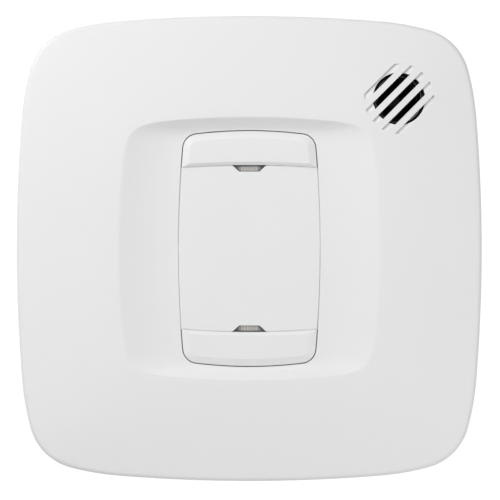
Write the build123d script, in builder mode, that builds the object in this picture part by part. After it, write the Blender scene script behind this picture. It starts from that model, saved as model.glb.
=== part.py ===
"""Square mains carbon monoxide alarm with a battery back-up drawer, on a twist-lock wall bracket.

X is to the right seen from the front, Z is up and the face looks along -Y. The wall is the plane
y = 0, and the origin is the middle of the bracket's back face. Depths are distances from the wall.
"""
from build123d import *
from math import acos, atan2, cos, degrees, hypot, radians, sin, sqrt
import os

# ---- driving dimensions (mm) -------------------------------------------------------------------
body_width = 150.0  # across the middles of opposite sides
body_depth = 40.0  # wall to the crest of the face
side_radius = 517.0  # the long bow of each side
shoulder_radius = 85.0
corner_radius = 18.2
side_half_angle = 4.72  # degrees of the long bow, each way from its middle
side_draft = 1.0  # the cover is this much smaller at the seam than at the rim
dome_rise = 3.6  # rim to crest
rim_fillet = 1.4

crest_width = 84.4  # the rounded square where the face turns down into the recess
crest_side_radius = 260.0
crest_shoulder_radius = 40.0
crest_corner_radius = 8.0
crest_half_angle = 6.0
recess_depth = 3.0  # crest to the panel

panel_width = 46.0  # the opening in the cover
panel_height = 76.1
panel_side_radius = 365.0
panel_crown_radius = 140.0
panel_corner_radius = 5.0
split_height = 26.65  # middle of the panel to each button, measured on the centre line
split_radius = 300.0  # the bow of those two lines
button_gap = 0.32
drawer_gap = 0.2

wall = 2.2  # moulded wall of the cover at its rim
wall_gap = 1.0  # rear edge of the housing to the wall
seam_depth = 16.0
seam_gap = 0.3
housing_wall = 2.6
housing_floor = 2.0

button_rise = 0.9  # plateau above the panel
button_bevel = 2.3
button_inner_bevel = 1.0
button_wall = 1.5
button_skirt = 6.5  # panel face to the rear edge of the skirt
button_flange = 1.3
flange_thickness = 1.6
stem_radius = 1.5
spring_seat_height = 33.0  # centre line of both button springs
test_travel = 1.2
eject_travel = 1.5

battery_length = 46.4  # 9 V block, without its terminals
battery_width = 26.2
battery_thickness = 17.2
terminal_height = 1.9
terminal_spacing = 12.7
tray_wall = 1.2
panel_thickness = 2.0
panel_edge = 0.25
tray_half_height = 25.4
tray_half_width = 21.6
slide_clearance = 0.3
chamber_wall = 1.6
ejector_spring_radius = 2.6
ejector_spring_x = 17.4
spring_cap = 1.0  # closed end of a spring's sleeve

board_size = 118.0
board_thickness = 1.6
board_corner = 10.0

grille_centre = 48.0  # to the right and up
grille_radius = 11.3
grille_open_radius = 8.45
grille_slot = 2.0
grille_pitch = 4.0
grille_groove = 0.5
horn_radius = 13.0
horn_height = 15.0
gasket_thickness = 0.6
lead_wire = 0.6  # radius of a sounder lead

window_width = 10.0  # indicator window at the button line
window_top = 5.8
window_height = 1.45
window_clearance = 0.2
pipe_fit = 0.15  # round a light pipe in the chamber's wall
pipe_recess = 0.8

bracket_radius = 56.0
bracket_plate = 2.0
bracket_rim_height = 6.0
bracket_rim = 2.0
wire_opening_radius = 25.0
box_screw_spacing = 86.1  # middle of the range of single-gang and octagon boxes
box_slot_length = 8.4
box_slot_radius = 2.3
anchor_hole_radius = 2.2
anchor_circle = 38.0
lug_reach = 1.8
lug_half_angle = 7.5
tab_half_angle = 6.5
lug_angles = (90, 210, 330)
pocket_clearance = 2.6  # bracket rim to the housing's pocket wall
pocket_depth = 6.4

screw_head_radius = 2.9
screw_shank_radius = 1.4
screw_clearance = 0.1
screw_edge = 9.0  # body side to the screw's centre
screw_height = 24.0

inlet_width = 24.0
inlet_height = 14.0
inlet_wall = 1.5
inlet_fit = 0.2  # round the shroud in the housing's floor
inlet_mouth = 2.6  # wall to the shroud's open end
blade_pitch = 5.5
blade_width = 0.8
blade_height = 2.4

# ---- depths that follow ------------------------------------------------------------------------
half = body_width / 2
rim_depth = body_depth - dome_rise
panel_depth = body_depth - recess_depth
cover_inside = rim_depth - wall
tray_front = panel_depth - panel_thickness
battery_back = tray_front - battery_thickness - 0.2
tray_floor = battery_back - 0.2
tray_back = tray_floor - tray_wall
chamber_floor = tray_back - 0.5
chamber_back = chamber_floor - chamber_wall
board_front = chamber_back - 1.0
board_back = board_front - board_thickness
pocket_floor = wall_gap + pocket_depth
floor_front = pocket_floor + housing_floor
button_back = panel_depth - button_skirt
chamber_front = button_back - 2.0
seat_depth = chamber_floor + 4.5
chamber_half_width = tray_half_width + slide_clearance
chamber_half_height = tray_half_height + 0.4
outer_half_width = chamber_half_width + chamber_wall
outer_half_height = chamber_half_height + chamber_wall
window_base = split_height - 0.25
window_floor = window_base - window_height
battery_top = window_floor - 0.2 - terminal_height
battery_bottom = battery_top - battery_length
battery_mid_depth = battery_back + battery_thickness / 2
horn_pocket = rim_depth - 0.2
horn_front = horn_pocket - gasket_thickness
horn_back = horn_front - horn_height
post_grid = board_size / 2 - 6
screw_x = half - screw_edge
screw_places = [(x * screw_x, z * screw_height) for x in (-1, 1) for z in (-1, 1)]
board_screw_places = [(-post_grid, post_grid), (-post_grid, -post_grid), (post_grid, -post_grid)]
board_screw_places.append((post_grid, grille_centre - 28))  # below the sounder
ear_x = outer_half_width + 4.2
ear_height = 12.0
ear_depth = (cover_inside - 9.6, cover_inside - 8.2)
ear_places = [(x * ear_x, z * ear_height) for x in (-1, 1) for z in (-1, 1)]

front = Plane.XZ
body_shape = (half, side_radius, shoulder_radius, corner_radius, side_half_angle)
crest_arcs = (crest_side_radius, crest_shoulder_radius, crest_corner_radius, crest_half_angle)
crest_shape = (crest_width / 2, *crest_arcs)
middle_shape = tuple((outer + inner) / 2 for outer, inner in zip(body_shape, crest_shape))


# ---- outlines, drawn as seen from the front ----------------------------------------------------
def closed_outline(side, crown, quadrant):
    """Bowed sides and crowns joined by the arcs of one quadrant, repeated in all four."""
    with BuildSketch() as outline:
        with BuildLine():
            for (middle, radius, half_angle), turn in ((side, 0), (crown, 90)):
                for flip, sign in ((0, 1), (180, -1)):
                    centre = (sign * middle, 0) if turn == 0 else (0, sign * middle)
                    CenterArc(centre, radius, turn + flip - half_angle, 2 * half_angle)
            for x, z, radius, start, end in quadrant:
                CenterArc((x, z), radius, start, end - start)
                CenterArc((-x, z), radius, 180 - end, end - start)
                CenterArc((-x, -z), radius, 180 + start, end - start)
                CenterArc((x, -z), radius, -end, end - start)
        make_face()
    return outline.sketch


def square_outline(shape, inset=0.0):
    """Bulged square: each side is a long bow, two shoulders and two tight corner arcs."""
    reach, side_r, shoulder_r, corner_r, angle = shape
    side_centre = reach - side_r
    shoulder_x = side_centre + (side_r - shoulder_r) * cos(radians(angle))
    shoulder_z = (side_r - shoulder_r) * sin(radians(angle))
    turn = degrees(acos((shoulder_z - shoulder_x) / ((shoulder_r - corner_r) * sqrt(2)))) - 45
    corner = shoulder_x + (shoulder_r - corner_r) * cos(radians(turn))
    bow = (side_centre, side_r - inset, angle)
    arcs = [
        (shoulder_x, shoulder_z, shoulder_r - inset, angle, turn),
        (corner, corner, corner_r - inset, turn, 90 - turn),
        (shoulder_z, shoulder_x, shoulder_r - inset, 90 - turn, 90 - angle),
    ]
    return closed_outline(bow, bow, arcs)


def pillow_outline(width, height, inset=0.0, side_r=panel_side_radius, crown_r=panel_crown_radius,
                   corner_r=panel_corner_radius):
    """Upright rounded rectangle with bowed sides; its corner arcs come in thirds."""
    side_centre, crown_centre = width / 2 - side_r, height / 2 - crown_r
    from_side, from_crown = side_r - corner_r, crown_r - corner_r
    apart = hypot(side_centre, crown_centre)
    along = (from_side**2 - from_crown**2 + apart**2) / (2 * apart)
    off = sqrt(from_side**2 - along**2)
    x = side_centre - along * side_centre / apart - off * crown_centre / apart
    z = along * crown_centre / apart - off * side_centre / apart
    start = degrees(atan2(z, x - side_centre))
    end = degrees(atan2(z - crown_centre, x))
    third = (end - start) / 3
    arcs = [(x, z, corner_r - inset, start + i * third, start + (i + 1) * third) for i in range(3)]
    side = (side_centre, side_r - inset, start)
    crown = (crown_centre, crown_r - inset, 90 - end)
    return closed_outline(side, crown, arcs)


def button_outline(inset, inner_inset):
    """The upper button: the panel above the split line."""
    with BuildSketch() as outline:
        add(pillow_outline(panel_width, panel_height, inset))
        with Locations((0, split_height - split_radius)):
            Circle(split_radius + inner_inset, mode=Mode.SUBTRACT)
        with Locations((0, -panel_height)):
            Rectangle(2 * panel_width, 2 * panel_height, mode=Mode.SUBTRACT)
    return outline.sketch


def window_outline(clearance=0.0):
    """The upper indicator window, a trapezoid with its wide side on the split line."""
    low, high = window_floor - clearance, window_base + clearance
    flank = 1.7 * clearance  # the flanks slant, so they need more than the straight sides
    wide, narrow = window_width / 2 + flank, window_top / 2 + flank
    with BuildSketch() as outline:
        with BuildLine():
            Polyline((-narrow, low), (narrow, low), (wide, high), (-wide, high), close=True)
        make_face()
    return outline.sketch


def window_at(side, clearance=0.0):
    """The upper window (side 1) or the lower one (side -1)."""
    outline = window_outline(clearance)
    return outline if side > 0 else outline.mirror(Plane.XZ)


def grille_slots(radius):
    """Five slots that climb to the right, cut off by a circle round the grille's centre."""
    step = grille_pitch * sqrt(0.5)
    with BuildSketch() as outline:
        with Locations((grille_centre, grille_centre)):
            with Locations(*[Location((-i * step, i * step), 45) for i in range(-2, 3)]):
                Rectangle(2 * grille_radius, grille_slot)
            Circle(radius, mode=Mode.INTERSECT)
    return outline.sketch


# ---- small builders ----------------------------------------------------------------------------
def block(x, z, d, mode=Mode.ADD):
    """Box between pairs of x, z and depth."""
    with Locations(((x[0] + x[1]) / 2, -(d[0] + d[1]) / 2, (z[0] + z[1]) / 2)):
        Box(x[1] - x[0], d[1] - d[0], z[1] - z[0], mode=mode)


def post(x, z, radius, d, mode=Mode.ADD):
    """Round post or hole along the depth."""
    with Locations(Location((x, -(d[0] + d[1]) / 2, z), (90, 0, 0))):
        Cylinder(radius, d[1] - d[0], mode=mode)


def around(value, spread):
    """The pair that lies spread to each side of value."""
    return (value - spread, value + spread)


def screw(x, z, head_radius, shank_radius, head, shank):
    """Pan-head screw pointing away from the wall, with a cross slot in its head."""
    post(x, z, shank_radius, shank)
    post(x, z, head_radius, head)
    for across, along in ((0.35, 1.5), (1.5, 0.35)):
        block(around(x, across), around(z, along), (head[0], head[0] + 1.0), Mode.SUBTRACT)


def front_screw(x, z, head_radius, shank_radius, head, shank):
    """Pan-head screw pointing at the wall, with a cross slot in its head."""
    post(x, z, shank_radius, shank)
    post(x, z, head_radius, head)
    for across, along in ((0.3, 1.3), (1.3, 0.3)):
        block(around(x, across), around(z, along), (head[1] - 0.8, head[1]), Mode.SUBTRACT)


def ring_sector(inner, outer, middle_angle, half_angle):
    """Sector of a ring round the twist axis."""
    with BuildSketch() as outline:
        with BuildLine():
            start, end = middle_angle - half_angle, middle_angle + half_angle
            low = CenterArc((0, 0), inner, start, end - start)
            high = CenterArc((0, 0), outer, start, end - start)
            Line(low @ 0, high @ 0)
            Line(low @ 1, high @ 1)
        make_face()
    return outline.sketch


finished = []


def finish(piece, name):
    """Label a finished piece and keep it for export."""
    piece.part.label = name
    finished.append(piece.part)


# ---- front cover -------------------------------------------------------------------------------
with BuildPart() as dome:
    with BuildSketch(front.offset(seam_depth + seam_gap)):
        add(square_outline(body_shape, side_draft))
    with BuildSketch(front.offset(rim_depth)):
        add(square_outline(body_shape))
    loft(ruled=True)
    with BuildSketch(front.offset(rim_depth)):
        add(square_outline(body_shape))
    with BuildSketch(front.offset(rim_depth + 0.61 * dome_rise)):
        add(square_outline(middle_shape))
    with BuildSketch(front.offset(body_depth)):
        add(square_outline(crest_shape))
    loft()
    fillet([edge for edge in dome.part.edges() if abs(edge.center().Y + rim_depth) < 0.001], rim_fillet)

with BuildPart() as recess:
    with BuildSketch(front.offset(body_depth)):
        add(square_outline(crest_shape))
    with BuildSketch(front.offset(body_depth - 0.62 * recess_depth)):
        add(pillow_outline(panel_width + 0.34 * (crest_width - panel_width),
                           panel_height + 0.45 * (crest_width - panel_height),
                           side_r=300, crown_r=190, corner_r=6.5))
    with BuildSketch(front.offset(panel_depth)):
        add(pillow_outline(panel_width, panel_height))
    loft()

with BuildPart() as grille_grooves:
    with BuildSketch(front.offset(cover_inside)):
        add(grille_slots(grille_radius))
    extrude(amount=body_depth - cover_inside + 1)
    add(dome.part.moved(Location((0, grille_groove, 0))), mode=Mode.SUBTRACT)

with BuildPart() as front_cover:
    add(dome.part)
    add(recess.part, mode=Mode.SUBTRACT)
    with BuildSketch(front.offset(seam_depth)):
        add(square_outline(body_shape, wall + side_draft))
    extrude(amount=cover_inside - seam_depth, mode=Mode.SUBTRACT)
    with BuildSketch(front.offset(cover_inside - 1)):
        add(pillow_outline(panel_width, panel_height))
    extrude(amount=body_depth - cover_inside, mode=Mode.SUBTRACT)
    post(grille_centre, grille_centre, horn_radius + 0.3, (cover_inside - 1, horn_pocket), Mode.SUBTRACT)
    add(grille_grooves.part, mode=Mode.SUBTRACT)
    with BuildSketch(front.offset(horn_pocket - 1)):
        add(grille_slots(grille_open_radius))
    extrude(amount=body_depth - horn_pocket + 1, mode=Mode.SUBTRACT)
    with BuildSketch(front.offset(cover_inside - 6)):
        with Locations((grille_centre, grille_centre)):
            Circle(horn_radius + 0.3 + 1.4)
            Circle(horn_radius + 0.3, mode=Mode.SUBTRACT)
    extrude(amount=6)
    for x, z in screw_places:
        post(x, z, 4.0, (seam_depth + seam_gap, cover_inside))
        post(x, z, screw_shank_radius + screw_clearance, (seam_depth, seam_depth + 12), Mode.SUBTRACT)
    for x, z in ear_places:
        post(x, z, 3.0, (ear_depth[1], cover_inside))
        post(x, z, 1.0, (ear_depth[1] - 1, cover_inside - 2), Mode.SUBTRACT)
finish(front_cover, "front_cover")

# ---- rear housing ------------------------------------------------------------------------------
pocket_radius = bracket_radius + pocket_clearance
with BuildPart() as rear_housing:
    with BuildSketch(front.offset(wall_gap)):
        add(square_outline(body_shape, side_draft + 0.6))
    with BuildSketch(front.offset(seam_depth)):
        add(square_outline(body_shape, side_draft))
    loft(ruled=True)
    fillet(rear_housing.faces().sort_by(Axis.Y)[-1].edges(), 0.8)
    with BuildSketch(front.offset(floor_front)):
        add(square_outline(body_shape, side_draft + housing_wall))
    extrude(amount=seam_depth - floor_front, mode=Mode.SUBTRACT)
    with BuildSketch(front.offset(wall_gap + housing_floor)):
        add(square_outline(body_shape, side_draft + housing_wall))
        Circle(pocket_radius + housing_floor, mode=Mode.SUBTRACT)
    extrude(amount=floor_front - wall_gap - housing_floor, mode=Mode.SUBTRACT)
    post(0, 0, pocket_radius, (0, pocket_floor), Mode.SUBTRACT)
    for angle in lug_angles:
        with BuildSketch(front.offset(bracket_plate + 0.4)):
            add(ring_sector(bracket_radius + 0.6, pocket_radius + 0.4, angle, tab_half_angle))
        extrude(amount=1.5)
    block(around(0, inlet_width / 2), around(0, inlet_height / 2), (pocket_floor - 1, floor_front + 1),
          Mode.SUBTRACT)
    for x, z in board_screw_places:
        base = pocket_floor if hypot(x, z) < pocket_radius else wall_gap + housing_floor - 0.4
        post(x, z, 3.2, (base, board_back))
        post(x, z, 1.0, (floor_front, board_back), Mode.SUBTRACT)
    for x, z in screw_places:
        post(x, z, 4.6, (wall_gap + housing_floor - 0.4, seam_depth))
        post(x, z, screw_shank_radius + 0.3, (0, seam_depth), Mode.SUBTRACT)
        post(x, z, screw_head_radius + 0.4, (0, wall_gap + housing_floor + 1.6), Mode.SUBTRACT)
    for i in range(-4, 5):
        for side in (-1, 1):
            edge = around(side * (half - 4), 6)
            block(around(7.5 * i, 2.6), edge, around(seam_depth - 3.4, 0.9), Mode.SUBTRACT)
finish(rear_housing, "rear_housing")

with BuildPart() as housing_screws:
    for x, z in screw_places:
        head = wall_gap + housing_floor + 1.6
        screw(x, z, screw_head_radius, screw_shank_radius, (head - 1.9, head), (head, seam_depth + 10))
finish(housing_screws, "housing_screws")

# ---- mounting bracket --------------------------------------------------------------------------
with BuildPart() as mounting_bracket:
    with BuildSketch(front):
        Circle(bracket_radius)
        Circle(wire_opening_radius, mode=Mode.SUBTRACT)
        with PolarLocations(box_screw_spacing / 2, 4):
            SlotOverall(box_slot_length, 2 * box_slot_radius, mode=Mode.SUBTRACT)
        with PolarLocations(anchor_circle, 4, 45):
            Circle(anchor_hole_radius, mode=Mode.SUBTRACT)
    extrude(amount=bracket_plate)
    with BuildSketch(front.offset(bracket_plate)):
        Circle(bracket_radius)
        Circle(bracket_radius - bracket_rim, mode=Mode.SUBTRACT)
    extrude(amount=bracket_rim_height - bracket_plate)
    with BuildSketch(front.offset(bracket_plate)):
        Circle(wire_opening_radius + 1.8)
        Circle(wire_opening_radius, mode=Mode.SUBTRACT)
    extrude(amount=2.0)
    for angle in lug_angles:
        with BuildSketch(front.offset(bracket_plate + 2.2)):
            add(ring_sector(bracket_radius - bracket_rim, bracket_radius + lug_reach,
                            angle, lug_half_angle))
        extrude(amount=1.6)
        with BuildSketch(front.offset(bracket_plate)):
            add(ring_sector(bracket_radius - bracket_rim, bracket_radius + lug_reach,
                            angle - tab_half_angle - 1.4, 0.9))
        extrude(amount=2.2)
finish(mounting_bracket, "mounting_bracket")

# ---- mains inlet -------------------------------------------------------------------------------
blade_places = [-blade_pitch, 0, blade_pitch]
with BuildPart() as ac_inlet:
    shroud_x, shroud_z = inlet_width / 2 - inlet_fit, inlet_height / 2 - inlet_fit
    flange = inlet_fit + 1.5
    block(around(0, shroud_x), around(0, shroud_z), (inlet_mouth, floor_front))
    block(around(0, shroud_x + flange), around(0, shroud_z + flange), (floor_front, floor_front + 1.2))
    block(around(0, shroud_x - inlet_wall), around(0, shroud_z - inlet_wall),
          (inlet_mouth, floor_front - 0.6), Mode.SUBTRACT)
    for x in blade_places:
        block(around(x, blade_width / 2), around(0, blade_height / 2), (inlet_mouth, floor_front + 2),
              Mode.SUBTRACT)
finish(ac_inlet, "ac_inlet")

with BuildPart() as ac_inlet_blades:
    for x in blade_places:
        block(around(x, blade_width / 2), around(0, blade_height / 2), (inlet_mouth + 1, board_front + 0.6))
finish(ac_inlet_blades, "ac_inlet_blades")

# ---- battery chamber ---------------------------------------------------------------------------
stem_hole = stem_radius + 0.4
hook_x = (9.5, 16.5)
hook_depth = around(battery_mid_depth - 0.7, 1.2)
contact_x = 7.1
contact_depth = (battery_mid_depth - 7.2, battery_mid_depth + 1.8)
leaf_thickness = 0.4
chip_height = 1.9

with BuildPart() as battery_chamber:
    block(around(0, outer_half_width), around(0, outer_half_height), (chamber_back, chamber_front))
    block(around(0, outer_half_width), around(0, tray_half_height), (chamber_front, cover_inside - 0.2))
    block(around(0, chamber_half_width), around(0, chamber_half_height), (chamber_floor, cover_inside),
          Mode.SUBTRACT)
    for side in (-1, 1):
        seat = sorted((side * outer_half_height, side * (spring_seat_height + 5)))
        block(around(0, 7), seat, (seat_depth, seat_depth + 1.4))
        for x in (-3.6, 3.6):
            block(around(x, 0.8), seat, (seat_depth - 3, seat_depth))
        post(0, side * spring_seat_height, stem_hole, (seat_depth - 1, seat_depth + 2), Mode.SUBTRACT)
        ears = sorted((side * outer_half_width, side * (ear_x + 3.2)))
        for z in (-ear_height, ear_height):
            block(ears, around(z, 4), ear_depth)
            post(side * ear_x, z, 1.2, (ear_depth[0] - 1, ear_depth[1] + 1), Mode.SUBTRACT)
        with BuildSketch(front.offset(chamber_back)):
            add(window_at(side, pipe_fit))
        extrude(amount=chamber_front - chamber_back, mode=Mode.SUBTRACT)
        block(around(0, 2.0), around(side * (window_base - window_height / 2), 1.6),
              (chamber_back - 1, board_front + chip_height + 0.3), Mode.SUBTRACT)
        block(around(side * contact_x, 1.8), (chamber_half_height - 0.5, outer_half_height + 0.5),
              (contact_depth[0] - 0.3, contact_depth[0] + 0.7), Mode.SUBTRACT)
    block((hook_x[0] - 0.6, hook_x[1] + 0.6), (-outer_half_height - 1, -chamber_half_height + 1),
          (hook_depth[0] - 0.8, hook_depth[1] + 0.8), Mode.SUBTRACT)
    block(hook_x, (-outer_half_height - 0.4, -outer_half_height), (chamber_back, chamber_back + 3.5))
finish(battery_chamber, "battery_chamber")

with BuildPart() as chamber_screws:
    for x, z in ear_places:
        screw(x, z, 2.2, 0.9, (ear_depth[0] - 1.4, ear_depth[0]), (ear_depth[0], ear_depth[1] + 5))
finish(chamber_screws, "chamber_screws")

with BuildPart() as latch_spring:
    leaf_top = -outer_half_height - 0.4
    leaf_front = button_back - eject_travel - 0.5
    block(hook_x, (leaf_top - leaf_thickness, leaf_top), (chamber_back, leaf_front))
    block(hook_x, (leaf_top, window_floor * -1 - 0.6), hook_depth)
    block(hook_x, (leaf_top - 2.2, leaf_top), (leaf_front - leaf_thickness, leaf_front))
finish(latch_spring, "latch_spring")

# ---- battery drawer ----------------------------------------------------------------------------
rib_x = battery_width / 2 + 0.3
with BuildPart() as battery_drawer:
    with BuildSketch(front.offset(tray_front)):
        add(pillow_outline(panel_width, panel_height, drawer_gap))
        for side in (-1, 1):
            with Locations((0, side * (split_height - split_radius))):
                Circle(split_radius, mode=Mode.INTERSECT)
    extrude(amount=panel_thickness)
    fillet(battery_drawer.faces().sort_by(Axis.Y)[0].edges(), panel_edge)
    block(around(0, tray_half_width), around(0, tray_half_height), (tray_back, tray_front))
    block(around(0, tray_half_width - tray_wall), around(0, tray_half_height - tray_wall),
          (tray_floor, tray_front), Mode.SUBTRACT)
    for side in (-1, 1):
        rib_height = tray_half_height - tray_wall
        block(around(side * (rib_x + 0.5), 0.5), around(0, rib_height), (tray_floor, tray_front))
        post(side * ejector_spring_x, 0, ejector_spring_radius + 0.9, (tray_floor, tray_front))
        post(side * ejector_spring_x, 0, ejector_spring_radius + 0.2, (tray_back, tray_front - spring_cap),
             Mode.SUBTRACT)
        with BuildSketch(front.offset(tray_back)):
            add(window_at(side, window_clearance))
        extrude(amount=panel_depth - tray_back, mode=Mode.SUBTRACT)
    terminal_slot = terminal_spacing / 2 + 4.65
    block(around(0, terminal_slot), (battery_top, tray_half_height + 1),
          (tray_back, battery_back + battery_thickness - 2.5), Mode.SUBTRACT)
    block(around(0, window_width / 2 + 0.6), (-tray_half_height - 1, -tray_half_height + tray_wall),
          (tray_back, tray_front), Mode.SUBTRACT)
    block((hook_x[0] - 0.8, hook_x[1] + 0.8), (-tray_half_height - 1, battery_bottom - 0.1),
          (hook_depth[0] - 0.3, hook_depth[1] + 0.3), Mode.SUBTRACT)
finish(battery_drawer, "battery_drawer")

with BuildPart() as battery_case:
    with BuildSketch(Plane.XY.offset(battery_bottom + 0.6)):
        with Locations((0, -battery_mid_depth)):
            RectangleRounded(battery_width, battery_thickness, 2.2)
    extrude(amount=battery_length - 1.4)
finish(battery_case, "battery_case")

with BuildPart() as battery_end_plates:
    for height, thickness in ((battery_bottom, 0.6), (battery_top - 0.8, 0.8)):
        with BuildSketch(Plane.XY.offset(height)):
            with Locations((0, -battery_mid_depth)):
                RectangleRounded(battery_width - 1, battery_thickness - 1, 1.8)
        extrude(amount=thickness)
finish(battery_end_plates, "battery_end_plates")

with BuildPart() as battery_terminals:
    with BuildSketch(Plane.XY.offset(battery_top)):
        with Locations((terminal_spacing / 2, -battery_mid_depth)):
            Circle(2.85)
        with Locations((-terminal_spacing / 2, -battery_mid_depth)):
            RegularPolygon(3.9, 6)
    extrude(amount=terminal_height)
    with Locations((-terminal_spacing / 2, -battery_mid_depth, battery_top + terminal_height / 2 + 0.2)):
        Cylinder(2.7, terminal_height, mode=Mode.SUBTRACT)
finish(battery_terminals, "battery_terminals")

for side, name in ((1, "battery_contact_positive"), (-1, "battery_contact_negative")):
    with BuildPart() as contact:
        strip = around(side * contact_x, 1.5)
        low = battery_top + terminal_height + 0.1
        high = outer_half_height + 0.9
        block(strip, (low, low + leaf_thickness), contact_depth)
        block(strip, (low, high), (contact_depth[0], contact_depth[0] + leaf_thickness))
        block(strip, (high - leaf_thickness, high), (board_front, contact_depth[0]))
    finish(contact, name)

for side, name in ((-1, "left_ejector_spring"), (1, "right_ejector_spring")):
    with BuildPart() as ejector_spring:
        with BuildSketch(front.offset(chamber_floor)):
            with Locations((side * ejector_spring_x, 0)):
                Circle(ejector_spring_radius)
                Circle(ejector_spring_radius - 0.5, mode=Mode.SUBTRACT)
        extrude(amount=tray_front - spring_cap - chamber_floor)
    finish(ejector_spring, name)

# ---- buttons -----------------------------------------------------------------------------------
switch_height = 3.5
plunger_height = 1.6
for side, name, travel in ((1, "test_button", test_travel), (-1, "eject_button", eject_travel)):
    with BuildPart() as button:
        with BuildSketch(front.offset(button_back)):
            add(button_outline(button_gap, drawer_gap))
        extrude(amount=panel_depth - button_back)
        with BuildSketch(front.offset(panel_depth)):
            add(button_outline(button_gap, drawer_gap))
        with BuildSketch(front.offset(panel_depth + button_rise)):
            add(button_outline(button_gap + button_bevel, drawer_gap + button_inner_bevel))
        loft(ruled=True)
        fillet(button.faces().sort_by(Axis.Y)[0].edges(), 0.5)
        with BuildSketch(front.offset(button_back)):
            add(button_outline(button_gap + button_wall, drawer_gap + button_wall))
        extrude(amount=button_skirt - button_wall, mode=Mode.SUBTRACT)
        with BuildSketch(front.offset(cover_inside - 0.1 - flange_thickness)):
            add(button_outline(-button_flange, drawer_gap + 1.0))
            add(button_outline(button_gap + button_wall, drawer_gap + 1.0), mode=Mode.SUBTRACT)
        extrude(amount=flange_thickness)
        stem_end = board_front + switch_height + plunger_height if side > 0 else seat_depth - 2.5
        post(0, spring_seat_height, stem_radius, (stem_end, panel_depth - button_wall + 0.2))
        if side < 0:
            wedge = (outer_half_height + 3.4, outer_half_height + 5.4)
            block((-hook_x[1], -hook_x[0]), wedge, (button_back - 1, panel_depth - 1.4))
            mirror(about=Plane.XY, mode=Mode.REPLACE)
    finish(button, name)

    with BuildPart() as button_spring:
        with BuildSketch(front.offset(seat_depth + 1.4)):
            with Locations((0, side * spring_seat_height)):
                Circle(stem_radius + 1.5)
                Circle(stem_radius + 0.9, mode=Mode.SUBTRACT)
        extrude(amount=panel_depth - button_wall - seat_depth - 1.4)
    finish(button_spring, name + "_spring")

with BuildPart() as test_switch:
    block(around(0, 3), around(spring_seat_height, 3), (board_front, board_front + switch_height))
    post(0, spring_seat_height, 1.9, (board_front + 1, board_front + switch_height), Mode.SUBTRACT)
finish(test_switch, "test_switch")

with BuildPart() as test_switch_plunger:
    post(0, spring_seat_height, 1.7, (board_front + 2.4, board_front + switch_height + plunger_height))
finish(test_switch_plunger, "test_switch_plunger")

for side, name in ((1, "upper"), (-1, "lower")):
    with BuildPart() as light_pipe:
        with BuildSketch(front.offset(board_front + chip_height + 0.2)):
            add(window_at(side))
        extrude(amount=panel_depth - pipe_recess - board_front - chip_height - 0.2)
    finish(light_pipe, name + "_light_pipe")
    with BuildPart() as status_led:
        middle = side * (window_base - window_height / 2)
        block(around(0, 1.6), around(middle, 1.2), (board_front, board_front + chip_height))
        post(0, middle, 0.9, (board_front + chip_height - 0.3, board_front + chip_height), Mode.SUBTRACT)
    finish(status_led, name + "_status_led")

# ---- circuit board -----------------------------------------------------------------------------
with BuildPart() as circuit_board:
    with BuildSketch(front.offset(board_back)):
        RectangleRounded(board_size, board_size, board_corner)
        with Locations(*board_screw_places):
            Circle(1.3, mode=Mode.SUBTRACT)
        with Locations(*[(x, 0) for x in blade_places]):
            Circle(1.6, mode=Mode.SUBTRACT)
    extrude(amount=board_thickness)
finish(circuit_board, "circuit_board")

with BuildPart() as board_screws:
    for x, z in board_screw_places:
        front_screw(x, z, 2.4, 0.9, (board_front, board_front + 1.6), (floor_front + 0.4, board_front))
finish(board_screws, "board_screws")

with BuildPart() as insulating_sheet:
    block(around(0, 40), around(0, 40), (floor_front, floor_front + 0.3))
    block(around(0, inlet_width / 2 + 2), around(0, inlet_height / 2 + 2),
          (floor_front - 1, floor_front + 1), Mode.SUBTRACT)
finish(insulating_sheet, "insulating_sheet")

# ---- carbon monoxide sensor --------------------------------------------------------------------
sensor_x, sensor_z = -42.0, 38.0
with BuildPart() as co_sensor:
    post(sensor_x, sensor_z, 9.0, (board_front + 1, board_front + 15))
    post(sensor_x, sensor_z, 9.6, (board_front + 1, board_front + 2.4))
    post(sensor_x, sensor_z, 3.0, (board_front + 13.5, board_front + 16), Mode.SUBTRACT)
finish(co_sensor, "co_sensor")
with BuildPart() as co_sensor_filter:
    post(sensor_x, sensor_z, 2.9, (board_front + 13.5, board_front + 15))
finish(co_sensor_filter, "co_sensor_filter")
with BuildPart() as co_sensor_pins:
    for x, z in ((0, 5.5), (-4.8, -2.8), (4.8, -2.8)):
        post(sensor_x + x, sensor_z + z, 0.5, (board_front, board_front + 1))
finish(co_sensor_pins, "co_sensor_pins")

# ---- sounder -----------------------------------------------------------------------------------
throat_depth = horn_front - 8.5
with BuildPart() as sounder_horn:
    post(grille_centre, grille_centre, horn_radius, (horn_back, horn_front))
    with BuildSketch(front.offset(throat_depth)):
        with Locations((grille_centre, grille_centre)):
            Circle(3.4)
    with BuildSketch(front.offset(horn_front)):
        with Locations((grille_centre, grille_centre)):
            Circle(11.0)
    loft(mode=Mode.SUBTRACT)
    post(grille_centre, grille_centre, 3.4, (horn_back, horn_front), Mode.SUBTRACT)
    post(grille_centre, grille_centre, horn_radius - 1.8, (horn_back, throat_depth - 1.6), Mode.SUBTRACT)
finish(sounder_horn, "sounder_horn")
with BuildPart() as piezo_disc:
    post(grille_centre, grille_centre, horn_radius - 2.0, (horn_back + 1.4, horn_back + 1.7))
    post(grille_centre, grille_centre, 7.5, (horn_back + 1.2, horn_back + 1.4))
finish(piezo_disc, "piezo_disc")
with BuildPart() as sounder_back:
    post(grille_centre, grille_centre, horn_radius - 2.0, (horn_back, horn_back + 1.2))
    post(grille_centre, grille_centre, 8.5, (horn_back - 1, horn_back + 2), Mode.SUBTRACT)
finish(sounder_back, "sounder_back_ring")
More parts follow.
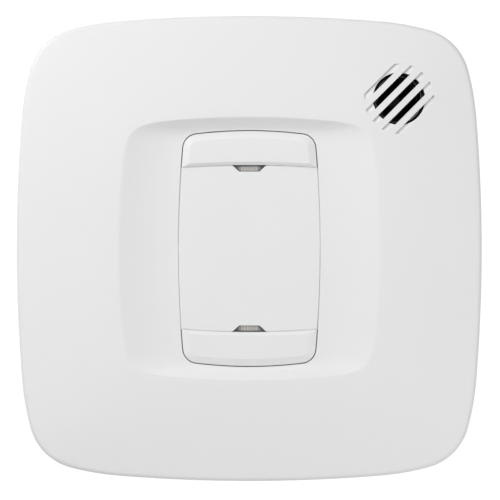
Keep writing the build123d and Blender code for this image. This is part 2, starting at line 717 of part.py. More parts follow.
with BuildPart() as horn_gasket:
    with BuildSketch(front.offset(horn_front)):
        with Locations((grille_centre, grille_centre)):
            Circle(horn_radius)
            Circle(horn_radius - 1.6, mode=Mode.SUBTRACT)
    extrude(amount=gasket_thickness)
finish(horn_gasket, "horn_gasket")

lead_start = horn_back + 1.2
lead_lane = board_front + 0.46 * (lead_start - board_front)
lead_radius = 0.45 * min(lead_lane - board_front, lead_start - lead_lane)
for offset, name in ((-3.0, "sounder_lead_red"), (3.0, "sounder_lead_black")):
    with BuildPart() as lead:
        x, z = grille_centre + offset, grille_centre - 2
        with BuildLine():
            path = FilletPolyline((x, -lead_start, z), (x, -lead_lane, z), (x - 11, -lead_lane, z - 12),
                                  (x - 11, -board_front, z - 12), radius=lead_radius)
        with BuildSketch(Plane(origin=path @ 0, z_dir=path % 0)):
            Circle(lead_wire)
        sweep()
    print(f"{name}: bends of {lead_radius:.2f} mm")
    finish(lead, name)

# ---- components on the board -------------------------------------------------------------------
with BuildPart() as film_capacitor:
    block(around(-44, 5.5), around(2, 13), (board_front, board_front + 17))
    fillet(film_capacitor.faces().sort_by(Axis.Y)[0].edges(), 0.8)
finish(film_capacitor, "film_capacitor")
with BuildPart() as bulk_capacitors:
    for x in (36, 49):
        post(x, -44, 5.0, (board_front, board_front + 15))
    fillet(bulk_capacitors.faces().sort_by(Axis.Y)[0:2].edges(), 0.6)
finish(bulk_capacitors, "bulk_capacitors")
with BuildPart() as varistor:
    with Locations(Location((-44, -board_front - 7.5, -22))):
        Cylinder(6.0, 4.5)
finish(varistor, "varistor")
with BuildPart() as mains_fuse:
    with Locations(Location((-42, -board_front - 3, -36), (0, 90, 0))):
        Cylinder(2.6, 14)
finish(mains_fuse, "mains_fuse")
with BuildPart() as rectifier_diodes:
    for x in (-52, -46, -40, -34):
        with Locations(Location((x, -board_front - 1.6, -46))):
            Cylinder(1.4, 5.2)
finish(rectifier_diodes, "rectifier_diodes")
with BuildPart() as choke:
    post(36, -22, 4.5, (board_front, board_front + 1.2))
    post(36, -22, 3.2, (board_front + 1.2, board_front + 7.8))
    post(36, -22, 4.5, (board_front + 7.8, board_front + 9))
finish(choke, "choke")
with BuildPart() as microcontroller:
    block(around(42, 5), around(8, 5), (board_front, board_front + 1.5))
finish(microcontroller, "microcontroller")
with BuildPart() as signal_amplifier:
    block(around(-46, 2), around(24, 2.5), (board_front, board_front + 1.5))
finish(signal_amplifier, "signal_amplifier")
with BuildPart() as chip_resistors:
    for i in range(8):
        block(around(31 + 3 * i, 0.8), around(-6, 1.6), (board_front, board_front + 0.6))
finish(chip_resistors, "chip_resistors")
with BuildPart() as sounder_coil:
    block(around(34, 3.5), around(22, 3.5), (board_front, board_front + 8))
    fillet(sounder_coil.edges().filter_by(Axis.Y), 0.8)
finish(sounder_coil, "sounder_coil")

os.makedirs("parts", exist_ok=True)
for piece in finished:
    export_step(piece, f"parts/{piece.label}.step")
    print(f"{piece.label}: {piece.volume:.1f} mm3")
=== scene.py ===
"""Carbon monoxide alarm: studio view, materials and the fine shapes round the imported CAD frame."""
import math

import bmesh
import bpy
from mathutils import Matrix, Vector


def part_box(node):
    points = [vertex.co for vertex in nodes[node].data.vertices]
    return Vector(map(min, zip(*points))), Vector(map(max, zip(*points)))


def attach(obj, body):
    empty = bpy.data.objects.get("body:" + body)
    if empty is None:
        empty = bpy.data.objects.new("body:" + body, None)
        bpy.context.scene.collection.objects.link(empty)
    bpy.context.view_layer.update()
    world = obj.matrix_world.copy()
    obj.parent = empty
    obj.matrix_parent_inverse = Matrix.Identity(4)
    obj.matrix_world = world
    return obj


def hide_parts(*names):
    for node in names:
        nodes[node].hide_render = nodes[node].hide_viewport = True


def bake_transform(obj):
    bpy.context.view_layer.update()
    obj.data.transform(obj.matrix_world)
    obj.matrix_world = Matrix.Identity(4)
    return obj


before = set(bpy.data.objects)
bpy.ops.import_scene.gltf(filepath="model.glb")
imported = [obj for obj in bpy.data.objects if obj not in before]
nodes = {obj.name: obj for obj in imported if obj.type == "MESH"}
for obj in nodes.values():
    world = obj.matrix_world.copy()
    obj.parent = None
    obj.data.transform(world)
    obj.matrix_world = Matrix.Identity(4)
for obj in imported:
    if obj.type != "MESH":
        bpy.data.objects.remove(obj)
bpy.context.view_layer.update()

# ---- camera, world, lights ---------------------------------------------------------------------
VIEW_WIDTH = 0.1608  # metres across the picture at the cover's rim
RIM_DEPTH = 0.0364  # from the wall to the rim
LENS = 120.0  # millimetres
SENSOR = 36.0  # millimetres
EYE_X, EYE_Z = 0.00023, -0.00048
distance = VIEW_WIDTH * LENS / SENSOR
camera_data = bpy.data.cameras.new("camera")
camera_data.lens = LENS
camera_data.sensor_width = SENSOR
camera_data.clip_start = 0.01
camera = bpy.data.objects.new("camera", camera_data)
camera.location = (EYE_X, -RIM_DEPTH - distance, EYE_Z)
camera.rotation_euler = (math.radians(90), 0, 0)
bpy.context.scene.collection.objects.link(camera)
bpy.context.scene.camera = camera
bpy.context.scene.view_settings.view_transform = "Standard"


def build_world():
    """A white cove behind the object that turns to soft grey in front of it."""
    world = bpy.data.worlds.new("studio")
    bpy.context.scene.world = world
    world.use_nodes = True
    tree = world.node_tree
    background = tree.nodes["Background"]
    coords = tree.nodes.new("ShaderNodeTexCoord")
    split = tree.nodes.new("ShaderNodeSeparateXYZ")
    ramp = tree.nodes.new("ShaderNodeMapRange")
    ramp.interpolation_type = "SMOOTHSTEP"
    for socket, number in (("From Min", 0.35), ("From Max", 0.93), ("To Min", 0.385), ("To Max", 1.04)):
        ramp.inputs[socket].default_value = number
    tree.links.new(coords.outputs["Generated"], split.inputs[0])
    tree.links.new(split.outputs["Y"], ramp.inputs["Value"])
    tree.links.new(ramp.outputs["Result"], background.inputs["Strength"])
    background.inputs["Color"].default_value = (1.0, 1.0, 1.0, 1)


def area_light(name, place, size, power, color=(1, 1, 1)):
    """Round lamp that faces the middle of the object's back."""
    data = bpy.data.lights.new(name, "AREA")
    data.shape = "DISK"
    data.size = size
    data.energy = power
    data.color = color
    light = bpy.data.objects.new(name, data)
    light.location = place
    light.rotation_euler = (-Vector(place)).to_track_quat("-Z", "Y").to_euler()
    bpy.context.scene.collection.objects.link(light)


build_world()
area_light("key", (-0.47, -0.31, 0.36), 0.30, 2.05, (1.0, 1.0, 0.997))
area_light("top", (-0.05, -0.35, 0.55), 0.30, 0.38)
area_light("front", (-0.12, -0.85, 0.24), 0.40, 1.12)
area_light("fill", (0.46, -0.50, -0.22), 0.40, 1.28, (0.98, 1.0, 0.99))


# ---- materials ---------------------------------------------------------------------------------
def shader(name):
    """New material: its node tree, its shader and its object-space coordinates."""
    made = bpy.data.materials.new(name)
    made.use_nodes = True
    tree = made.node_tree
    coords = tree.nodes.new("ShaderNodeTexCoord")
    return made, tree, tree.nodes["Principled BSDF"], coords.outputs["Object"]


def noise(tree, coords, scale, detail=3.0, stretch=None, roughness=0.5):
    """Noise of so many cells per metre."""
    if stretch:
        mapping = tree.nodes.new("ShaderNodeMapping")
        mapping.inputs["Scale"].default_value = stretch
        tree.links.new(coords, mapping.inputs["Vector"])
        coords = mapping.outputs["Vector"]
    texture = tree.nodes.new("ShaderNodeTexNoise")
    texture.inputs["Scale"].default_value = scale
    texture.inputs["Detail"].default_value = detail
    texture.inputs["Roughness"].default_value = roughness
    tree.links.new(coords, texture.inputs["Vector"])
    return texture.outputs["Fac"]


def spread(tree, value, low, high, start=0.3, end=0.7):
    """Maps a noise value to a range."""
    node = tree.nodes.new("ShaderNodeMapRange")
    for socket, number in (("From Min", start), ("From Max", end), ("To Min", low), ("To Max", high)):
        node.inputs[socket].default_value = number
    tree.links.new(value, node.inputs["Value"])
    return node.outputs["Result"]


def two_tone(tree, value, first, second, low=0.35, high=0.65):
    """Colour that runs between two tones with a noise value."""
    ramp = tree.nodes.new("ShaderNodeValToRGB")
    ramp.color_ramp.elements[0].position = low
    ramp.color_ramp.elements[1].position = high
    ramp.color_ramp.elements[0].color = (*first, 1)
    ramp.color_ramp.elements[1].color = (*second, 1)
    tree.links.new(value, ramp.inputs["Fac"])
    return ramp.outputs["Color"]


def bump(tree, bsdf, value, strength, depth):
    """Fine relief, depth in metres."""
    node = tree.nodes.new("ShaderNodeBump")
    node.inputs["Strength"].default_value = strength
    node.inputs["Distance"].default_value = depth
    tree.links.new(value, node.inputs["Height"])
    tree.links.new(node.outputs["Normal"], bsdf.inputs["Normal"])


def tinted(color, factor):
    """Colour made lighter or darker by a factor, kept at or below white."""
    return tuple(min(1.0, c * factor) for c in color)


def moulded(name, color, roughness=0.45, grain=2600, relief=0.000012, variation=0.02, specular=0.5):
    """Moulded plastic: spark-eroded grain, faint flow tone and uneven gloss."""
    made, tree, bsdf, coords = shader(name)
    flow = noise(tree, coords, 22, 2)
    tone = two_tone(tree, flow, tinted(color, 1 - variation), tinted(color, 1 + variation))
    tree.links.new(tone, bsdf.inputs["Base Color"])
    fine = noise(tree, coords, grain, 3)
    tree.links.new(spread(tree, fine, roughness - 0.05, roughness + 0.06), bsdf.inputs["Roughness"])
    bump(tree, bsdf, fine, 0.35, relief)
    bsdf.inputs["Specular IOR Level"].default_value = specular
    return made


def metal(name, color, roughness=0.3, stretch=(1, 1, 1), grain=900, relief=0.000006, tarnish=0.12):
    """Drawn, rolled or plated metal with a direction to its grain."""
    made, tree, bsdf, coords = shader(name)
    patch = noise(tree, coords, 180, 4)
    tree.links.new(two_tone(tree, patch, tinted(color, 1 - tarnish), color), bsdf.inputs["Base Color"])
    line = noise(tree, coords, grain, 4, stretch)
    tree.links.new(spread(tree, line, roughness - 0.08, roughness + 0.1), bsdf.inputs["Roughness"])
    bump(tree, bsdf, line, 0.3, relief)
    bsdf.inputs["Metallic"].default_value = 1.0
    return made


WHITE = (0.80, 0.80, 0.80)
white_cover = moulded("white_cover", WHITE, 0.5, 2400, 0.00001, 0.006, 0.35)
white_panel = moulded("white_panel", WHITE, 0.42, 3000, 0.000007, 0.006, 0.4)
white_back = moulded("white_back", (0.74, 0.74, 0.725), 0.55, 1800, 0.000016, 0.02)
natural = moulded("natural_plastic", (0.66, 0.655, 0.62), 0.5, 1600, 0.00001, 0.04)
black = moulded("black_plastic", (0.012, 0.012, 0.013), 0.35, 2200, 0.000012, 0.2)
chip_black = moulded("chip_black", (0.02, 0.02, 0.021), 0.55, 3400, 0.00001, 0.2)
horn_black = moulded("horn_black", (0.012, 0.0085, 0.0065), 0.5, 1800, 0.000006, 0.2, 0.15)
ring_gloss = moulded("ring_gloss", (0.010, 0.010, 0.011), 0.12, 1800, 0.000001, 0.1, 1.0)
steel = metal("spring_steel", (0.60, 0.60, 0.61), 0.28, (1, 6, 1))
bright_wire = metal("bright_wire", (0.93, 0.91, 0.88), 0.5, (1, 6, 1))
zinc = metal("zinc_plate", (0.66, 0.67, 0.68), 0.32, (1, 1, 1), 1400)
brass = metal("brass", (0.78, 0.58, 0.27), 0.26, (6, 1, 1))
board_green = moulded("board_green", (0.018, 0.13, 0.05), 0.25, 700, 0.00001, 0.15)
film = moulded("film", (0.72, 0.70, 0.60), 0.3, 500, 0.00001, 0.05)
filter_white = moulded("filter_white", (0.8, 0.8, 0.78), 0.8, 4000, 0.00003, 0.05)
foam = moulded("foam", (0.02, 0.02, 0.02), 0.9, 1500, 0.00015, 0.3)
sleeve = moulded("sleeve", (0.015, 0.02, 0.05), 0.25, 900, 0.000008, 0.15)
ochre = moulded("ochre_box", (0.72, 0.42, 0.05), 0.35, 900, 0.000008, 0.06)
blue_dip = moulded("blue_dip", (0.03, 0.09, 0.38), 0.2, 300, 0.00005, 0.12)
red_wire = moulded("red_wire", (0.5, 0.015, 0.012), 0.35, 1200, 0.000006, 0.08)


def ribbed_pipe(name):
    """Frosted acrylic with moulded ribs across it, and painted shade that darkens its flanks towards the
    sides.
    """
    made, tree, bsdf, coords = shader(name)
    split = tree.nodes.new("ShaderNodeSeparateXYZ")
    tree.links.new(coords, split.inputs[0])
    wave = tree.nodes.new("ShaderNodeTexWave")
    wave.bands_direction = "X"
    wave.inputs["Scale"].default_value = 330
    wave.inputs["Distortion"].default_value = 0.6
    tree.links.new(coords, wave.inputs["Vector"])
    flank = tree.nodes.new("ShaderNodeMath")
    flank.operation = "ABSOLUTE"
    tree.links.new(split.outputs["X"], flank.inputs[0])
    # painted shade: the colour darkens away from the middle line, towards the pipe's flanks
    painted_flank_shade = spread(tree, flank.outputs[0], 1.0, 0.45, 0.0024, 0.0038)
    ribs = spread(tree, wave.outputs["Fac"], 0.80, 1.0, 0.0, 1.0)
    ribs_and_painted_shade = tree.nodes.new("ShaderNodeMath")
    ribs_and_painted_shade.operation = "MULTIPLY"
    tree.links.new(painted_flank_shade, ribs_and_painted_shade.inputs[0])
    tree.links.new(ribs, ribs_and_painted_shade.inputs[1])
    # the ramp's dark end is the painted shade on the flanks, its light end the lit acrylic
    tone = two_tone(tree, ribs_and_painted_shade.outputs[0], (0.02, 0.018, 0.016), (0.56, 0.535, 0.515), 0.25, 1.0)
    tree.links.new(tone, bsdf.inputs["Base Color"])
    bsdf.inputs["Roughness"].default_value = 0.35
    bump(tree, bsdf, wave.outputs["Fac"], 0.5, 0.00012)
    return made


frosted = ribbed_pipe("frosted_pipe_painted_flank_shade")

materials = {
    "front_cover": white_cover, "battery_drawer": white_panel, "test_button": white_panel,
    "eject_button": white_panel, "rear_housing": white_back, "mounting_bracket": white_back,
    "battery_chamber": natural, "sounder_coil": chip_black, "choke": chip_black, "sounder_horn": black,
    "sounder_back_ring": black, "ac_inlet": natural, "test_switch": chip_black,
    "test_switch_plunger": red_wire,
    "microcontroller": chip_black, "signal_amplifier": chip_black, "chip_resistors": chip_black,
    "rectifier_diodes": chip_black, "battery_case": sleeve, "upper_light_pipe": frosted,
    "lower_light_pipe": frosted, "upper_status_led": frosted, "lower_status_led": frosted,
    "test_button_spring": steel, "eject_button_spring": steel, "left_ejector_spring": steel,
    "right_ejector_spring": steel, "latch_spring": steel, "co_sensor": steel, "co_sensor_pins": steel,
    "housing_screws": zinc, "chamber_screws": zinc, "board_screws": zinc, "mains_fuse": zinc,
    "battery_end_plates": zinc, "battery_terminals": zinc, "battery_contact_positive": brass,
    "battery_contact_negative": brass, "ac_inlet_blades": brass, "piezo_disc": brass,
    "circuit_board": board_green, "insulating_sheet": film, "co_sensor_filter": filter_white,
    "bulk_capacitors": sleeve, "film_capacitor": ochre, "varistor": blue_dip, "horn_gasket": foam,
    "sounder_lead_red": red_wire, "sounder_lead_black": black,
}


def dress(piece, finish):
    """Gives a piece one finish in place of any it has."""
    piece.data.materials.clear()
    piece.data.materials.append(finish)


for node_name, finish in materials.items():
    dress(nodes[node_name], finish)


# ---- outlines and sizes, in metres -------------------------------------------------------------
BODY = (0.075, 0.517, 0.085, 0.0182, math.radians(4.72))  # reach, side, shoulder, corner, half angle
CREST = (0.0422, 0.260, 0.040, 0.008, math.radians(6.0))
PANEL_X, PANEL_Z = 0.0230, 0.03805
PANEL_SIDE, PANEL_CROWN, PANEL_CORNER = 0.365, 0.140, 0.005
SEAM, RIM, FACE, PANEL_FACE, INSIDE = 0.0163, RIM_DEPTH, 0.0400, 0.0370, 0.0342  # from the wall
DRAFT = 0.001  # how much further in the outline is at the seam than at the rim
WALL = 0.0032
RIM_ROUND, CREST_ROUND = 0.0014, 0.0009
DOME_EASE, RECESS_EASE = 1.45, 1.9
LEDGE, LEDGE_DEPTH = 0.00017, 0.00012  # lip that closes most of the seam beside the drawer
LEDGE_END, LEDGE_FADE = 0.0255, 0.0004  # height where that lip ends, and over how much
SPLIT, SPLIT_RADIUS = 0.02665, 0.300  # the drawer's curved ends
LIP_START, LIP_END = 0.0056, 0.0224  # where the lips on those ends run, from the middle line
GRILLE = 0.048  # the grille's middle, to the right and up
POCKET_RADIUS, POCKET_DEPTH = 0.0133, 0.0362  # for the horn's mouth, behind the grille
AROUND = 720  # points round each ring of the cover


def ray_to_arc(angle, x, z, radius):
    """Distance from the middle to the far side of a circle, along a ray."""
    along = x * math.cos(angle) + z * math.sin(angle)
    across = x * math.sin(angle) - z * math.cos(angle)
    return along + math.sqrt(radius * radius - across * across)


def square_reach(shape, angle, inset=0.0):
    """Distance from the middle to the bulged square in a direction."""
    reach, side, shoulder, corner, half = shape
    fold = abs((angle + math.pi / 4) % (math.pi / 2) - math.pi / 4)
    side_x = reach - side
    sx = side_x + (side - shoulder) * math.cos(half)
    sz = (side - shoulder) * math.sin(half)
    turn = math.acos((sz - sx) / ((shoulder - corner) * math.sqrt(2))) - math.pi / 4
    cx = sx + (shoulder - corner) * math.cos(turn)
    side, shoulder, corner = side - inset, shoulder - inset, corner - inset
    first = math.atan2(side * math.sin(half), side_x + side * math.cos(half))
    second = math.atan2(cx + corner * math.sin(turn), cx + corner * math.cos(turn))
    if fold <= first:
        return ray_to_arc(fold, side_x, 0, side)
    if fold <= second:
        return ray_to_arc(fold, sx, sz, shoulder)
    return ray_to_arc(fold, cx, cx, corner)


def pillow_corner():
    """Middle of the panel's corner arc and the directions where that arc starts and ends."""
    side_x, crown_z = PANEL_X - PANEL_SIDE, PANEL_Z - PANEL_CROWN
    p, q = PANEL_SIDE - PANEL_CORNER, PANEL_CROWN - PANEL_CORNER
    apart = math.hypot(side_x, crown_z)
    along = (p * p - q * q + apart * apart) / (2 * apart)
    off = math.sqrt(p * p - along * along)
    x = side_x - along * side_x / apart - off * crown_z / apart
    z = along * crown_z / apart - off * side_x / apart
    return x, z, math.atan2(z, x - side_x), math.atan2(z - crown_z, x)


CORNER_X, CORNER_Z, CORNER_START, CORNER_END = pillow_corner()
CORNER_ANGLE = math.atan2(CORNER_Z + 0.7 * PANEL_CORNER, CORNER_X + 0.7 * PANEL_CORNER)


def pillow_reach(angle):
    """Distance from the middle to the panel's opening in a direction."""
    x, z = abs(math.cos(angle)), abs(math.sin(angle))
    fold = math.atan2(z, x)
    start = math.atan2(CORNER_Z + PANEL_CORNER * math.sin(CORNER_START),
                       CORNER_X + PANEL_CORNER * math.cos(CORNER_START))
    end = math.atan2(CORNER_Z + PANEL_CORNER * math.sin(CORNER_END),
                     CORNER_X + PANEL_CORNER * math.cos(CORNER_END))
    if fold <= start:
        return ray_to_arc(fold, PANEL_X - PANEL_SIDE, 0, PANEL_SIDE)
    if fold <= end:
        return ray_to_arc(fold, CORNER_X, CORNER_Z, PANEL_CORNER)
    return ray_to_arc(fold, 0, PANEL_Z - PANEL_CROWN, PANEL_CROWN)


def warped(angle):
    """Turns a direction so that the squares' corners meet the panel's taller corners."""
    quarter = math.pi / 2
    quadrant, rest = divmod(angle, quarter)
    first = CORNER_ANGLE if int(quadrant) % 2 == 0 else quarter - CORNER_ANGLE
    share = rest / (quarter / 2)
    turned = first * share if share < 1 else first + (quarter - first) * (share - 1)
    return quadrant * quarter + turned


def at(angle, reach, depth):
    """Point at a distance from the middle in a direction, at a depth from the wall."""
    return Vector((reach * math.cos(angle), -depth, reach * math.sin(angle)))


def dome_depth(share):
    """Depth of the face from the rim (0) to the crest (1): the bow flattens towards the crest."""
    return RIM + (FACE - RIM) * (1 - (1 - share) ** DOME_EASE)


def face_depth(x, z):
    """Depth of the domed face above a point of the front view."""
    angle = math.atan2(z, x) % (2 * math.pi)
    outer, inner = square_reach(BODY, angle), square_reach(CREST, angle)
    return dome_depth(min(1.0, (outer - math.hypot(x, z)) / (outer - inner)))


# ---- mesh helpers ------------------------------------------------------------------------------
def new_piece(name, shape, finish, smooth_angle=35):
    """Object from a bmesh, smooth apart from its sharp edges."""
    bmesh.ops.recalc_face_normals(shape, faces=shape.faces)
    mesh = bpy.data.meshes.new(name)
    shape.to_mesh(mesh)
    shape.free()
    mesh.shade_smooth()
    mesh.set_sharp_from_angle(angle=math.radians(smooth_angle))
    piece = bpy.data.objects.new(name, mesh)
    bpy.context.scene.collection.objects.link(piece)
    dress(piece, finish)
    return piece


def bridge_rings(shape, rings, closed=False):
    """Quads between rings of points of equal count."""
    made = [[shape.verts.new(point) for point in ring] for ring in rings]
    pairs = list(zip(made, made[1:])) + ([(made[-1], made[0])] if closed else [])
    for low, high in pairs:
        for i in range(len(low)):
            j = (i + 1) % len(low)
            shape.faces.new((low[i], low[j], high[j], high[i]))
    return made


def prism(shape, outline, low, high):
    """Closed prism along the depth; low and high give the depth of each outline point."""
    back = [shape.verts.new((x, -low(x, z), z)) for x, z in outline]
    front = [shape.verts.new((x, -high(x, z), z)) for x, z in outline]
    shape.faces.new(back)
    shape.faces.new(front[::-1])
    for i in range(len(outline)):
        j = (i + 1) % len(outline)
        shape.faces.new((back[i], front[i], front[j], back[j]))


def carve(piece, cutter_shape):
    """Cuts a closed bmesh out of a piece."""
    bmesh.ops.recalc_face_normals(cutter_shape, faces=cutter_shape.faces)
    mesh = bpy.data.meshes.new("cutter")
    cutter_shape.to_mesh(mesh)
    cutter_shape.free()
    cutter = bpy.data.objects.new("cutter", mesh)
    bpy.context.scene.collection.objects.link(cutter)
    modifier = piece.modifiers.new("carve", "BOOLEAN")
    modifier.solver = "EXACT"
    modifier.object = cutter
    bpy.context.view_layer.update()
    result = bpy.data.meshes.new_from_object(piece.evaluated_get(bpy.context.evaluated_depsgraph_get()))
    piece.modifiers.clear()
    piece.data = result
    bpy.data.objects.remove(cutter)


# ---- front cover -------------------------------------------------------------------------------
SLOTS = range(-2, 3)
SLOT_PITCH, SLOT_HALF = 0.004, 0.001
GROOVE_REACH, OPEN_REACH = 0.0113, 0.00845  # circles that end the grooves and their open parts
GROOVE_SHALLOW, GROOVE_DEEP = 0.00012, 0.0010


def cover_rings():
    """Rings from the seam, round the rim, over the dome, down the recess and back inside."""
    angles = [2 * math.pi * i / AROUND for i in range(AROUND)]
    body = [square_reach(BODY, a) for a in angles]
    crest = [at(a, square_reach(CREST, a), 0) for a in angles]
    panel = [at(warped(a), pillow_reach(warped(a)), 0) for a in angles]
    start = DRAFT * RIM_ROUND / (RIM - SEAM)
    edge = [at(a, square_reach(BODY, a, start), 0) for a in angles]
    rings = [[at(a, square_reach(BODY, a, DRAFT), SEAM) for a in angles]]
    for share in (0.06, 0.5, 0.94):
        depth = SEAM + (RIM - RIM_ROUND - SEAM) * share
        inset = DRAFT * (RIM - depth) / (RIM - SEAM)
        rings.append([at(a, square_reach(BODY, a, inset), depth) for a in angles])
    steps = [RIM_ROUND * (1 - math.cos(math.pi / 2 * i / 12)) for i in range(13)]
    run = BODY[0] - CREST[0]
    steps += [RIM_ROUND + (run - RIM_ROUND) * i / 30 for i in range(1, 31)]
    for step in steps:
        inside = max(0.0, RIM_ROUND - step)
        drop = RIM_ROUND - math.sqrt(RIM_ROUND ** 2 - inside ** 2)
        depth = dome_depth(step / run) - drop
        rings.append([outer.lerp(inner, step / run) - Vector((0, depth, 0))
                      for outer, inner in zip(edge, crest)])
    for i in range(1, 41):
        share = (i / 40) ** 1.5
        ring = []
        for outer, inner in zip(crest, panel):
            soft = CREST_ROUND / (outer - inner).length
            eased = (math.hypot(share, soft) - soft) / (math.hypot(1, soft) - soft)
            depth = FACE - (FACE - PANEL_FACE) * (1 - (1 - eased) ** RECESS_EASE)
            ring.append(outer.lerp(inner, share) - Vector((0, depth, 0)))
        rings.append(ring)
    shares = [max(0.0, min(1.0, (LEDGE_END - abs(point.z)) / LEDGE_FADE)) for point in panel]
    ledge = [point - point.normalized() * LEDGE * share for point, share in zip(panel, shares)]
    rings.append([point - Vector((0, PANEL_FACE - LEDGE_DEPTH, 0)) for point in panel])
    for depth in (PANEL_FACE - LEDGE_DEPTH - 0.00002, INSIDE):
        rings.append([point - Vector((0, depth, 0)) for point in ledge])
    inner_wall = [at(a, square_reach(BODY, a, WALL), 0) for a in angles]
    for share in (0.4, 1.0):
        rings.append([a.lerp(b, share) - Vector((0, INSIDE, 0)) for a, b in zip(panel, inner_wall)])
    rings.append([point - Vector((0, SEAM, 0)) for point in inner_wall])
    return rings


def slot_outline(offset, reach):
    """One slanted slot inside a circle round the grille, as points of the front view."""
    low = max(offset - SLOT_HALF, -reach * 0.999)
    high = min(offset + SLOT_HALF, reach * 0.999)
    levels = [low + (high - low) * i / 8 for i in range(9)]
    right = [(math.sqrt(reach ** 2 - v * v), v) for v in levels]
    left = [(-u, v) for u, v in reversed(right)]
    turn = math.sqrt(0.5)
    return [(GRILLE + (u - v) * turn, GRILLE + (u + v) * turn) for u, v in right + left]


def groove_cutter(shape, offset):
    """Closed solid over one slot: its floor falls from the lower edge to the upper one."""
    across, along, turn = 12, 48, math.sqrt(0.5)
    floor, lid = [], []
    for j in range(across + 1):
        v = offset - SLOT_HALF + 2 * SLOT_HALF * j / across
        half = math.sqrt(GROOVE_REACH ** 2 - v * v)
        line = [half * (2 * i / along - 1) for i in range(along + 1)]
        spots = [(GRILLE + (u - v) * turn, GRILLE + (u + v) * turn) for u in line]
        depth = GROOVE_SHALLOW + (GROOVE_DEEP - GROOVE_SHALLOW) * (j / across) ** 2.5
        floor.append([shape.verts.new((x, depth - face_depth(x, z), z)) for x, z in spots])
        lid.append([shape.verts.new((x, -FACE - 0.002, z)) for x, z in spots])
    for grid in (floor, lid):
        for j in range(across):
            for i in range(along):
                shape.faces.new((grid[j][i], grid[j][i + 1], grid[j + 1][i + 1], grid[j + 1][i]))
    borders = [[(0, i) for i in range(along + 1)], [(across, i) for i in range(along + 1)],
               [(j, 0) for j in range(across + 1)], [(j, along) for j in range(across + 1)]]
    for border in borders:
        for (j, i), (m, n) in zip(border, border[1:]):
            shape.faces.new((floor[j][i], floor[m][n], lid[m][n], lid[j][i]))


def build_cover():
    """Cover shell with the horn's pocket and the grille's grooves and slots cut out of it."""
    shape = bmesh.new()
    bridge_rings(shape, cover_rings(), closed=True)
    cover = new_piece("cover_shell", shape, white_cover)
    pocket = bmesh.new()
    ring = [(GRILLE + POCKET_RADIUS * math.cos(math.tau * i / 72),
             GRILLE + POCKET_RADIUS * math.sin(math.tau * i / 72)) for i in range(72)]
    prism(pocket, ring, lambda x, z: INSIDE - 0.002, lambda x, z: POCKET_DEPTH)
    carve(cover, pocket)
    grooves = bmesh.new()
    for i in SLOTS:
        groove_cutter(grooves, i * SLOT_PITCH)
    carve(cover, grooves)
    slots = bmesh.new()
    for i in SLOTS:
        prism(slots, slot_outline(i * SLOT_PITCH, OPEN_REACH), lambda x, z: INSIDE, lambda x, z: FACE + 0.003)
    carve(cover, slots)
    cover.data.shade_smooth()
    cover.data.set_sharp_from_angle(angle=math.radians(32))
    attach(cover, "alarm")
    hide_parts("front_cover")


build_cover()


def build_drawer_lips():
    """Fine lips along the drawer's curved ends, just under its face, that close most of the seam."""
    shape = bmesh.new()
    for side in (-1, 1):
        for start, end in ((-LIP_END, -LIP_START), (LIP_START, LIP_END)):
            rings = []
            for i in range(41):
                x = start + (end - start) * i / 40
                z = SPLIT - SPLIT_RADIUS + math.sqrt(SPLIT_RADIUS ** 2 - x * x)
                low, high = z - 0.0003, z + 0.00014
                back, front = PANEL_FACE - 0.0009, PANEL_FACE - 0.00012
                rings.append([Vector((x, -d, side * h))
                              for h, d in ((low, back), (high, back), (high, front), (low, front - 0.0002))])
            made = bridge_rings(shape, rings)
            shape.faces.new(made[0][::-1])
            shape.faces.new(made[-1])
    lips = new_piece("drawer_end_lips", shape, white_panel, 30)
    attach(lips, "drawer")


build_drawer_lips()


# ---- springs and sounder -----------------------------------------------------------------------
def build_coil(node, wire, turns):
    """Open coil in the place of a spring node, with closer turns at its two ends."""
    low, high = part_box(node)
    radius = (high.x - low.x) / 2 - wire
    x, z = (low.x + high.x) / 2, (low.z + high.z) / 2
    start, end = -high.y + wire, -low.y - wire
    shape = bmesh.new()
    count = int(turns * 28)
    rings = []
    for i in range(count + 1):
        share = i / count
        lift = min(max((share - 0.06) / 0.88, 0), 1) * 0.86 + share * 0.14
        angle = math.tau * turns * share
        middle = Vector((x + radius * math.cos(angle), -(start + (end - start) * lift),
                         z + radius * math.sin(angle)))
        outward = Vector((math.cos(angle), 0, math.sin(angle)))
        rings.append([middle + outward * wire * math.cos(math.tau * k / 10)
                      + Vector((0, wire * math.sin(math.tau * k / 10), 0)) for k in range(10)])
    made = bridge_rings(shape, rings)
    shape.faces.new(made[0][::-1])
    shape.faces.new(made[-1])
    coil = new_piece(node + "_coil", shape, steel, 60)
    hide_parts(node)
    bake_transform(coil)


for node_name in ("left_ejector_spring", "right_ejector_spring"):
    build_coil(node_name, 0.00028, 11)
for node_name in ("test_button_spring", "eject_button_spring"):
    build_coil(node_name, 0.00026, 8)


def lathe(shape, profile, x, z, segments=96):
    """Turns a closed profile of (radius, depth) round an axis along the depth."""
    turns = [math.tau * i / segments for i in range(segments)]
    rings = [[Vector((x + r * math.cos(turn), -d, z + r * math.sin(turn))) for turn in turns]
             for r, d in profile]
    return bridge_rings(shape, rings, closed=True)


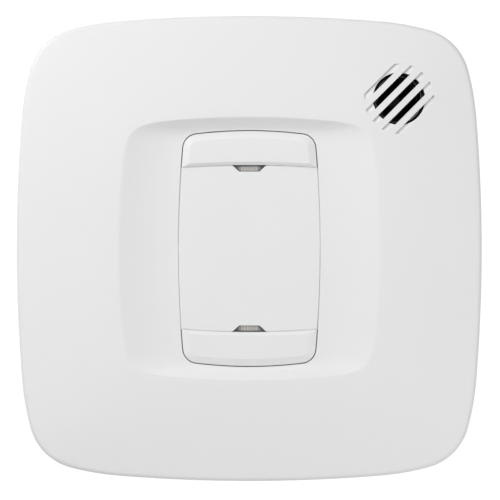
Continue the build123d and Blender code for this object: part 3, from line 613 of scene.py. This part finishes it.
def build_horn():
    """Horn: outer drum, flat lip, a rounded bowl inside it and the flare to the throat."""
    low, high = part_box("sounder_horn")
    back, mouth = -high.y, -low.y
    outer = (high.x - low.x) / 2
    x, z = (low.x + high.x) / 2, (low.z + high.z) / 2
    throat, bowl, bowl_depth = 0.0024, 0.0072, 0.0021
    corner, wall, hollow = 0.0012, 0.0018, back + 0.0064
    profile = [(throat, hollow)]
    for i in range(13):
        share = i / 12
        profile.append((throat + (bowl - 0.0016 - throat) * share ** 0.8,
                        back + 0.0070 + (mouth - bowl_depth - 0.0006 - back - 0.0070) * share ** 1.7))
    for i in range(1, 11):
        turn = math.pi / 2 * i / 10
        profile.append((bowl - corner + corner * math.sin(turn),
                        mouth - bowl_depth + corner * (1 - math.cos(turn))))
    profile += [(bowl, mouth - 0.0006), (bowl + 0.0013, mouth - 0.0006), (bowl + 0.0014, mouth - 0.0001),
                (bowl + 0.0015, mouth)]
    profile += [(outer - 0.0005, mouth), (outer, mouth - 0.0005), (outer, back + 0.0003),
                (outer - 0.0003, back), (outer - wall, back), (outer - wall, hollow)]
    shape = bmesh.new()
    lathe(shape, profile, x, z)
    horn = new_piece("horn_moulding", shape, horn_black, 40)
    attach(horn, "alarm")
    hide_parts("sounder_horn")
    bead = 0.00042
    ring_profile = [(bowl + 0.00025 - bead * math.cos(math.pi * i / 16),
                     mouth - 0.00055 + bead * math.sin(math.pi * i / 16)) for i in range(17)]
    shape = bmesh.new()
    lathe(shape, ring_profile, x, z, 144)
    ring = new_piece("horn_seat_ring", shape, ring_gloss, 30)
    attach(ring, "alarm")


build_horn()


def build_clip():
    """Short wire clip that holds the horn's ring."""
    low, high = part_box("sounder_horn")
    x, z, depth = (low.x + high.x) / 2, (low.z + high.z) / 2, -low.y - 0.0001
    first_angle, sweep, seat = -66, 39, 0.00742
    wire_width, wire_depth = 0.00023, 0.00018
    rings = []
    for i in range(25):
        turn = math.radians(first_angle + sweep * i / 24)
        taper = math.sqrt(max(0.02, 1 - (i / 12 - 1) ** 4))
        reach = seat + 0.00016 * (i / 12 - 1) ** 2
        out = Vector((math.cos(turn), 0, math.sin(turn)))
        middle = Vector((x, -depth, z)) + out * reach
        rings.append([middle + out * wire_width * taper * math.cos(math.tau * k / 12)
                      + Vector((0, wire_depth * taper * math.sin(math.tau * k / 12), 0)) for k in range(12)])
    shape = bmesh.new()
    made = bridge_rings(shape, rings)
    shape.faces.new(made[0][::-1])
    shape.faces.new(made[-1])
    clip = new_piece("horn_wire_clip", shape, bright_wire, 60)
    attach(clip, "alarm")


build_clip()


def build_sound_cap():
    """Black sound cap that hides the disc behind the throat."""
    low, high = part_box("sounder_horn")
    back = -high.y
    x, z = (low.x + high.x) / 2, (low.z + high.z) / 2
    profile = [(0.00002, back + 0.0030), (0.0070, back + 0.0030), (0.0072, back + 0.0034),
               (0.0060, back + 0.0040), (0.0022, back + 0.0052), (0.0008, back + 0.0056),
               (0.00002, back + 0.0056)]
    shape = bmesh.new()
    lathe(shape, profile, x, z, 64)
    cap = new_piece("horn_sound_cap", shape, chip_black, 40)
    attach(cap, "alarm")


build_sound_cap()


# ---- stage -------------------------------------------------------------------------------------
FLOOR_Z = -0.50


def build_floor():
    """Pale round floor, well below the alarm, which hangs on a wall."""
    mesh = bpy.data.meshes.new("floor")
    shape = bmesh.new()
    bmesh.ops.create_circle(shape, cap_ends=True, segments=96, radius=1.3)
    shape.to_mesh(mesh)
    shape.free()
    floor = bpy.data.objects.new("floor", mesh)
    floor.location = (0, 0, FLOOR_Z)
    bpy.context.scene.collection.objects.link(floor)
    dress(floor, moulded("floor_paint", WHITE, 0.8, 60, 0.0002, 0.01, 0.2))


build_floor()
